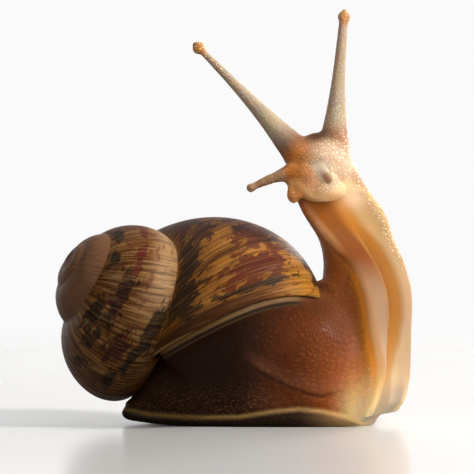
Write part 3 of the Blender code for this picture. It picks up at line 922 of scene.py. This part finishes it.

# the zones that the colours follow, most of them from 0 outside to 1 inside
# the foot's front corner, painted brighter as if lit through its thin flesh
corner = ramp(x, 11.5, 17) * ramp(z, 8.5, 1.5)
near_edge = on_neck * ramp(across, -0.55, -0.85) * ramp(depth, 0, 0.6)
# painted shadow: the flesh just below the shell's lip, darkened
painted_shadow_under_lip = ramp(from_lip, 4.2, 1.2) * not_collar * ramp(x, 14, 11)
glow_reach = 0.55 + 3.5 * ramp(z, 11, 4)
lower = feeler * ramp(z, 35, 34.4)
sole_rim = on_neck * ramp(np.abs(across), 0.8, 0.9) * ramp(depth, 0.6, 1) * ramp(depth, 2.8, 1.4)
far_rim = ramp(x, 13, 14) * ramp(across, 0.68, 0.83) * ramp(z, 18, 23) * not_feeler
zones = {
    # darker towards the left: partly the flesh's own darker colour, partly painted shade from the shell
    # and from the body turning away from the light
    "darker_and_shaded_left": ramp(x, 17, -3),
    "reared": ramp(z, 20, 27),
    # painted shade: the middle of the flank, darkened where the lamps light it most
    "painted_flank_shade": bell(x, 13.2, 3.4) * bell(z, 13.2, 4.5),
    # painted shade in the crease along the lower flank, and a painted sheen on the skin just above it
    "fold": fold,
    "over_fold": on_fold * ramp(over_fold, 0, 0.4) * ramp(over_fold, 3.2, 0.6),
    # painted light: the neck's flank below the head, lightened
    "painted_neck_light": ramp(z, 15.5, 20.5) * ramp(z, 30, 28) * (1 - sole) * not_collar * (x > 8),
    "collar": collar,
    "collar_edge": collar * (ramp(from_lip, 0.95, 0.75) + 0.4 * bell(from_lip, 1.35, 0.1)),
    "painted_shadow_under_lip": painted_shadow_under_lip,
    "sole": sole,
    "across": np.clip(0.5 + past_crease / 2, 0, 1),
    # painted shadow: the sole's near lobe under the chin, darkened
    "painted_chin_shadow": ramp(z, 16, 22.5) * ramp(z, 28, 22) * ramp(past_crease, 0.1, -0.2),
    "furrow": ramp(past_crease, -0.08 - 0.3 * joined, 0.06),
    "far": ramp(past_crease + 0.28 * ramp(z, 23, 27), 0.32, 0.68),
    "strip": on_neck * ramp(across, -0.7, -0.9) * ramp(z, 21, 25),
    # painted light: a warm glow near the sole's edges, as of light shining through the flesh
    "glow": on_neck * np.exp(np.minimum(1.3 - depth, 0) / glow_reach) * (1 - sole) * ramp(z, 22.5, 18.5),
    "corner": corner,
    # painted light through the sole's thin near edge, shown as emission
    "lit": np.maximum(0.6 * corner**2, near_edge * ramp(z, 16, 7) * ramp(x, 15.5, 17.7)),
    "sole_edge": margin * bell(depth, 0.9, 0.45) * ramp(z, 22, 18),
    "foot_end": on_neck * ramp(z, 7, 3.5) * ramp(past_crease, 0, 0.3) * ramp(across, 0.75, 0.45),
    "rim": rim,
    "rim_end": ramp(x, 7, 15),
    "fringe": on_foot * bell(z, fringe_z, FRINGE_WIDTH),
    "head": head,
    "face": ramp(x, 7.5, 12),
    # painted shade: the dip between the upper feelers, darkened
    "painted_brow_shade": bell(x, 10.3, 2) * bell(z, 37.7, 0.9),
    # painted light: the down-facing underside of the lower lip's right end, lightened nearly to white
    "painted_lip_underside_light": bell(x, 15.2, 1.6) * bell(z, 29.8, 1.3),
    "lobe": ramp(x, 8.3, 7.7) * ramp(z, 31.8, 31.2) * ramp(z, 27, 28) * not_feeler,
    # the lower lip: smooth and paler, partly its own colour and partly painted light; its groove painted
    # golden as if lit
    "lip_skin": on_lip * ramp(lip_away, 0.62, 0.82) * ramp(lip_away, 1.2, 1.1),
    "lip_groove": lip_groove,
    "feeler": feeler,
    "lower": lower,
    "pale": lower * (x > 9.4),
    "knob": knob,
    "warty": warty,
    "pebbled": ramp(z, 7, 4) * ramp(x, 12, 6),
    "sparkle": np.maximum(sole_rim * ramp(z, 9, 5), far_rim),
    "dry": np.maximum(painted_shadow_under_lip, sole * ramp(z, 18, 22)),
}
for name, values in zones.items():
    layer = whole.attributes.new(name, "FLOAT", "POINT")
    layer.data.foreach_set("value", np.asarray(values, np.float32))
layer = whole.attributes.new("flow", "FLOAT_VECTOR", "POINT")
layer.data.foreach_set("vector", flow.astype(np.float32).ravel())


def fade(name, *colors):
    """The first colour outside a zone, turning into the second inside it."""
    return mix_colors(zone(name), *colors)


def lay_on(color, *layers):
    """A colour with others laid on it in turn, each by its zone and a strength."""
    for name, strength, over in layers:
        color = blend_into(zone(name), color, over, strength)
    return color


def grains(place, scale):
    """How far a place is from the edge of its own grain."""
    inputs = {"Vector": place, "Scale": scale}
    made = add_node("ShaderNodeTexVoronoi", inputs, feature="DISTANCE_TO_EDGE")
    return made.outputs["Distance"]


object_place = add_node("ShaderNodeTexCoord").outputs["Object"]
mottle_inputs = {"Vector": object_place, "Scale": MOTTLE_SCALE, "Detail": 4.0, "Roughness": 0.6}
mottle = add_node("ShaderNodeTexNoise", mottle_inputs).outputs["Fac"]
far_side = span(zone("across"), 0.5, 0.8)

groove = times(zone("furrow"), span(zone("across"), 0.86, 0.64))
groove_color = fade("reared", "B47A34", "CC8A38")
# the sole's near lobe, darker higher up and darkest under the chin: painted shade from the head
near_sole = fade("painted_chin_shadow", fade("reared", "A88260", "8C5018"), "7E4414")
sole_color = mix_colors(groove, near_sole, groove_color)
sole_color = fade("far", sole_color, fade("reared", "C8A680", "DCB47E"))
# the glow and the sole's edge turn paler towards the foot's front corner: painted light through thin
# flesh
glow_color = mix_colors(far_side, fade("corner", "C27420", "F6B868"), "CDB492")
edge_color = mix_colors(far_side, fade("corner", "E89A34", "FFE0A0"), "DCCAB0")
rim_color = fade("rim_end", fade("darker_and_shaded_left", "2C1C10", "1E1208"), "A07C50")
head_color = fade("face", "B87234", "DCC0A6")
head_color = blend_into(span(mottle, 0.4, 0.65), head_color, "C07A30", 0.4)

flesh_mottle = times(span(mottle, 0.4, 0.7), scaled(zone("darker_and_shaded_left"), -0.3, 0.2))
# the flesh darkens towards the left, partly its own colour and partly painted shade
color = mix_colors(span(zone("darker_and_shaded_left"), 0.0, 0.5), "A8581E", "783C18")
color = mix_colors(span(zone("darker_and_shaded_left"), 0.4, 1.0), color, "2A1306")
color = mix_colors(flesh_mottle, color, "A85420")
color = lay_on(
    color,
    # painted shade on the middle of the flank
    ("painted_flank_shade", 0.6, "5A2406"),
    # a painted sheen above the flank's fold, and painted shade in the fold's crease
    ("over_fold", 0.35, "B47454"),
    ("fold", 0.4, "2A1206"),
    # painted light on the neck's flank
    ("painted_neck_light", 0.55, "C87C48"),
    ("collar", 1.0, "2C1A0A"),
    ("collar_edge", 1.0, "84623A"),
    # painted shadow under the shell's lip
    ("painted_shadow_under_lip", 0.6, "2C1204"),
    ("sole", 1.0, sole_color),
    ("strip", 0.85, "B88658"),
    # painted light: a warm glow through the flesh near the sole, brightest at the front corner
    ("glow", 0.9, glow_color),
    ("corner", 0.9, "FADCA4"),
    ("sole_edge", 1.0, edge_color),
    ("foot_end", 0.9, "AA9280"),
    ("rim", 1.0, rim_color),
    ("fringe", 0.75, fade("darker_and_shaded_left", "F0C880", "96783E")),
    ("head", 1.0, head_color),
    # the lower lip, partly its own paler colour and partly painted light, and its groove painted golden
    # as if lit
    ("lip_skin", 0.7, "F6C68C"),
    ("lip_groove", 0.5, "E8A858"),
    ("lobe", 0.8, "DC9A60"),
    # painted light under the lower lip's right end
    ("painted_lip_underside_light", 0.8, "F8E2C4"),
    ("feeler", 1.0, fade("lower", "BEAC94", "92704F")),
    ("pale", 0.8, "CDBBA4"),
    ("knob", 1.0, fade("lower", "D8A26C", "B09070")),
)

# the head, the feelers and the sole's rims are set with round grains, the rest with longer warts
smooth_lip = scaled(zone("lip_skin"), -0.75, 1.0)
rough_feeler = times(zone("feeler"), scaled(zone("pale"), -0.5, 0.5))
granular = calculate("MAXIMUM", times(zone("head"), smooth_lip), zone("sparkle"))
granular = calculate("MAXIMUM", granular, rough_feeler)
wart_cover = times(zone("warty"), calculate("SUBTRACT", 1.0, granular))
wart_place = add_node("ShaderNodeAttribute", attribute_name="flow").outputs["Vector"]
wart = grains(wart_place, WART_SCALE)
pebble = grains(wart_place, PEBBLE_SCALE)
grain = grains(object_place, GRAIN_SCALE)
# the warts' and pebbles' tops paler and their gaps darker: partly the skin's own colour, partly painted
# highlights and shade
light_share = times(span(wart, 0.08, 0.34), wart_cover, scaled(zone("darker_and_shaded_left"), -0.09, 0.09))
color = mix_colors(light_share, color, "C88A48")
pebble_share = times(span(pebble, 0.08, 0.3), zone("warty"), zone("pebbled"))
color = blend_into(pebble_share, color, "C88A48", 0.13)
groove_share = times(span(wart, 0.1, 0.0), wart_cover, scaled(zone("corner"), -0.12, 0.24))
color = mix_colors(groove_share, color, "421A06")

# the grains' tops paler and their gaps darker: partly their own colour, partly painted highlights, most
# on the face and the sole's rims
cell_inputs = {"Vector": object_place, "Scale": GRAIN_SCALE}
cells = add_node("ShaderNodeTexVoronoi", cell_inputs).outputs["Color"]
cell_light = span(add_node("ShaderNodeSeparateColor", {0: cells}).outputs[0], -0.2, 0.75)
grain_share = times(granular, scaled(zone("face"), 0.65, 0.35))
grain_light = times(span(grain, 0.08, 0.26), cell_light, grain_share)
grain_color = fade("feeler", fade("face", "E0A050", "FAE8C8"), "DCCCB4")
color = blend_into(grain_light, color, grain_color, 0.85)
pale_gaps = calculate("MAXIMUM", zone("sparkle"), zone("face"))
gap_color = fade("feeler", mix_colors(pale_gaps, "7A4210", "B88E68"), "6E5A46")
color = blend_into(times(span(grain, 0.08, 0.0), granular), color, gap_color, 0.5)
# painted shade in the dip between the upper feelers
color = lay_on(color, ("painted_brow_shade", 0.95, "4A2206"))
tree.links.new(color, shader.inputs["Base Color"])

# painted light: the glow of light through the thin near edge of the sole and its front corner, made to
# shine as emission
through_color = lay_on("000000", ("lit", 0.55, fade("corner", "946A24", "948862")))
tree.links.new(through_color, shader.inputs["Emission Color"])
tree.links.new(scaled(zone("dry"), 0.35, 0.47), shader.inputs["Roughness"])
tree.links.new(scaled(zone("dry"), -0.06, 0.06), shader.inputs["Coat Weight"])
wart_bump = times(span(wart, 0.0, 0.5), wart_cover)
grain_bump = times(span(grain, 0.0, 0.3), granular)
add_bump(shader, calculate("ADD", wart_bump, grain_bump), 0.5, 0.00013)

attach(skin, "root")
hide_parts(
    "mantle_collar",
    "tail",
    "foot",
    "neck_lower",
    "neck_upper",
    "head",
    "labial_palp_left",
    "labial_palp_right",
    "upper_tentacle_left",
    "upper_tentacle_right",
    "lower_tentacle_left",
    "lower_tentacle_right",
)

# ---------------------------------------------------------------- eyes
# Each upper feeler ends in a knob with a small dark eye set in its outer end, under clear skin.

# which way each pupil faces, and the cosines of the angles from there at which its edge fades
PUPILS = {"left": (-0.15, 0.35, 1.0), "right": (0.3, 0.5, 0.9)}
PUPIL_EDGE = (0.86, 0.94)
eye_look, tree, shader = new_material(
    "clear_eye",
    Roughness=0.15,
    Coat_Weight=0.6,
    Coat_Roughness=0.05,
    Subsurface_Weight=0.3,
    Subsurface_Scale=0.0004,
)
eye_inputs = {
    "Vector": add_node("ShaderNodeTexCoord").outputs["Object"],
    "Scale": 2500.0,
    "Detail": 2.0,
}
eye_noise = add_node("ShaderNodeTexNoise", eye_inputs).outputs["Fac"]
eye_color = mix_colors(eye_noise, "D9A878", "C08E62")
eye_color = mix_colors(span(zone("pupil"), *PUPIL_EDGE), eye_color, "0C0806")
tree.links.new(eye_color, shader.inputs["Base Color"])
for side, facing_out in PUPILS.items():
    low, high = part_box(f"eye_{side}")
    bm = bmesh.new()
    bmesh.ops.create_icosphere(bm, subdivisions=4, radius=(high.x - low.x) / 2)
    towards = [vert.co.normalized().dot(Vector(facing_out).normalized()) for vert in bm.verts]
    bmesh.ops.translate(bm, verts=bm.verts, vec=(low + high) / 2)
    eye = make_object(f"snail_eye_{side}", bm, eye_look)
    layer = eye.data.attributes.new("pupil", "FLOAT", "POINT")
    layer.data.foreach_set("value", towards)
    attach(eye, "root")
    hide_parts(f"eye_{side}")

# ---------------------------------------------------------------- floor
# A plain pale sheet with a soft gloss. It fades out into the white of the room.

FLOOR_SIZE = 0.6
# from where it is gone to where it is whole, as shares of its size
FLOOR_FADE = (0.45, 0.12)
floor_look, tree, shader = new_material("pale_floor", Roughness=0.2, Specular_IOR_Level=0.4)
floor_place = add_node("ShaderNodeTexCoord").outputs["Object"]
floor_noise = add_node("ShaderNodeTexNoise", {"Vector": floor_place, "Scale": 30.0}).outputs["Fac"]
floor_color = mix_colors(floor_noise, "F4F4F2", "FAFAFA")
floor_seen = add_node("ShaderNodeLightPath").outputs["Is Camera Ray"]
floor_color = mix_colors(floor_seen, "909090", floor_color)
tree.links.new(floor_color, shader.inputs["Base Color"])
away = add_node("ShaderNodeVectorMath", {0: floor_place}, operation="LENGTH").outputs["Value"]
floor_cover = span(away, *(FLOOR_SIZE * share for share in FLOOR_FADE))
tree.links.new(floor_cover, shader.inputs["Alpha"])
bm = bmesh.new()
bmesh.ops.create_grid(bm, x_segments=8, y_segments=8, size=FLOOR_SIZE / 2)
floor = make_object("studio_floor", bm, floor_look)

# ---------------------------------------------------------------- light and camera
# A studio with soft round lamps on both sides and three narrow ones for the head, the lip and
# the sole's margin. The room is white to the camera, and lights the snail most from the right.

# lamps: place, point aimed at, size, power, tint and spread in degrees
LAMPS = {
    "key": ((0.36, -0.12, 0.32), (0.0, 0.0, 0.02), 0.12, 1.95, (1.0, 0.96, 0.9), 180.0),
    "rim": ((0.25, 0.35, 0.15), (0.01, 0.0, 0.02), 0.2, 0.9, (1.0, 0.99, 0.97), 180.0),
    "front": ((0.12, -0.4, 0.25), (0.0, 0.0, 0.02), 0.3, 0.2, (1.0, 1.0, 1.0), 180.0),
    "fill": ((-0.3, -0.25, 0.16), (0.0, 0.0, 0.025), 0.2, 0.16, (1.0, 0.97, 0.93), 180.0),
    "head": ((0.1, -0.24, 0.12), (0.014, -0.003, 0.034), 0.06, 0.003, (1.0, 0.95, 0.88), 12.0),
    "lip": ((0.1, -0.24, 0.02), (0.0125, -0.006, 0.0295), 0.008, 0.00012, (1.0, 0.93, 0.82), 4.0),
    "margin": ((0.14, -0.22, 0.03), (0.0182, -0.007, 0.0045), 0.008, 0.0002, (1.0, 0.95, 0.85), 4.0),
}
for name, (place, aim, size, power, tint, spread) in LAMPS.items():
    lamp = bpy.data.lights.new(name, "AREA")
    lamp.shape = "DISK"
    lamp.size = size
    lamp.energy = power
    lamp.color = tint
    lamp.spread = math.radians(spread)
    light = bpy.data.objects.new(name, lamp)
    light.location = place
    light.rotation_euler = (Vector(aim) - Vector(place)).to_track_quat("-Z", "Y").to_euler()
    bpy.context.collection.objects.link(light)

# where the room is brightest, the back wall as a glossy surface mirrors it, and the room as the
# camera sees it
BRIGHT_SIDE = (0.7, 0.4, 0.6)
WALL_LIGHT = 0.95
SEEN_LIGHT = 0.955
world = bpy.data.worlds.new("studio")
bpy.context.scene.world = world
world.use_nodes = True
tree = world.node_tree
room = tree.nodes["Background"]
seen = add_node("ShaderNodeLightPath").outputs["Is Camera Ray"]
direction = add_node("ShaderNodeTexCoord").outputs["Generated"]
toward_inputs = {0: direction, 1: BRIGHT_SIDE}
toward = add_node("ShaderNodeVectorMath", toward_inputs, operation="DOT_PRODUCT").outputs["Value"]
room_light = scaled(span(toward, -0.6, 0.9), 0.42, 0.035)
_, depth_way, upward = add_node("ShaderNodeSeparateXYZ", {0: direction}).outputs
mirrored = add_node("ShaderNodeLightPath").outputs["Is Glossy Ray"]
level = span(calculate("ABSOLUTE", upward), 0.45, 0.15)
back_wall = times(level, mirrored, span(depth_way, 0.3, 0.8))
room_light = mix_values(back_wall, room_light, WALL_LIGHT)
tree.links.new(mix_values(seen, room_light, SEEN_LIGHT), room.inputs["Strength"])
room.inputs["Color"].default_value = (1.0, 1.0, 1.0, 1.0)

VIEW_AIM = Vector((0.0, 0.0, 0.0245))
VIEW_DISTANCE = 0.45
VIEW_RISE = math.radians(1.5)
VIEW_WIDTH = 0.0621
SENSOR = 36.0
camera_data = bpy.data.cameras.new("view")
camera_data.sensor_width = SENSOR
camera_data.lens = SENSOR * VIEW_DISTANCE / VIEW_WIDTH
camera_data.clip_start = 0.01
camera = bpy.data.objects.new("view", camera_data)
camera.location = VIEW_AIM + Vector((0, -math.cos(VIEW_RISE), math.sin(VIEW_RISE))) * VIEW_DISTANCE
camera.rotation_euler = (VIEW_AIM - camera.location).to_track_quat("-Z", "Y").to_euler()
bpy.context.collection.objects.link(camera)
bpy.context.scene.camera = camera
bpy.context.scene.view_settings.view_transform = "Standard"
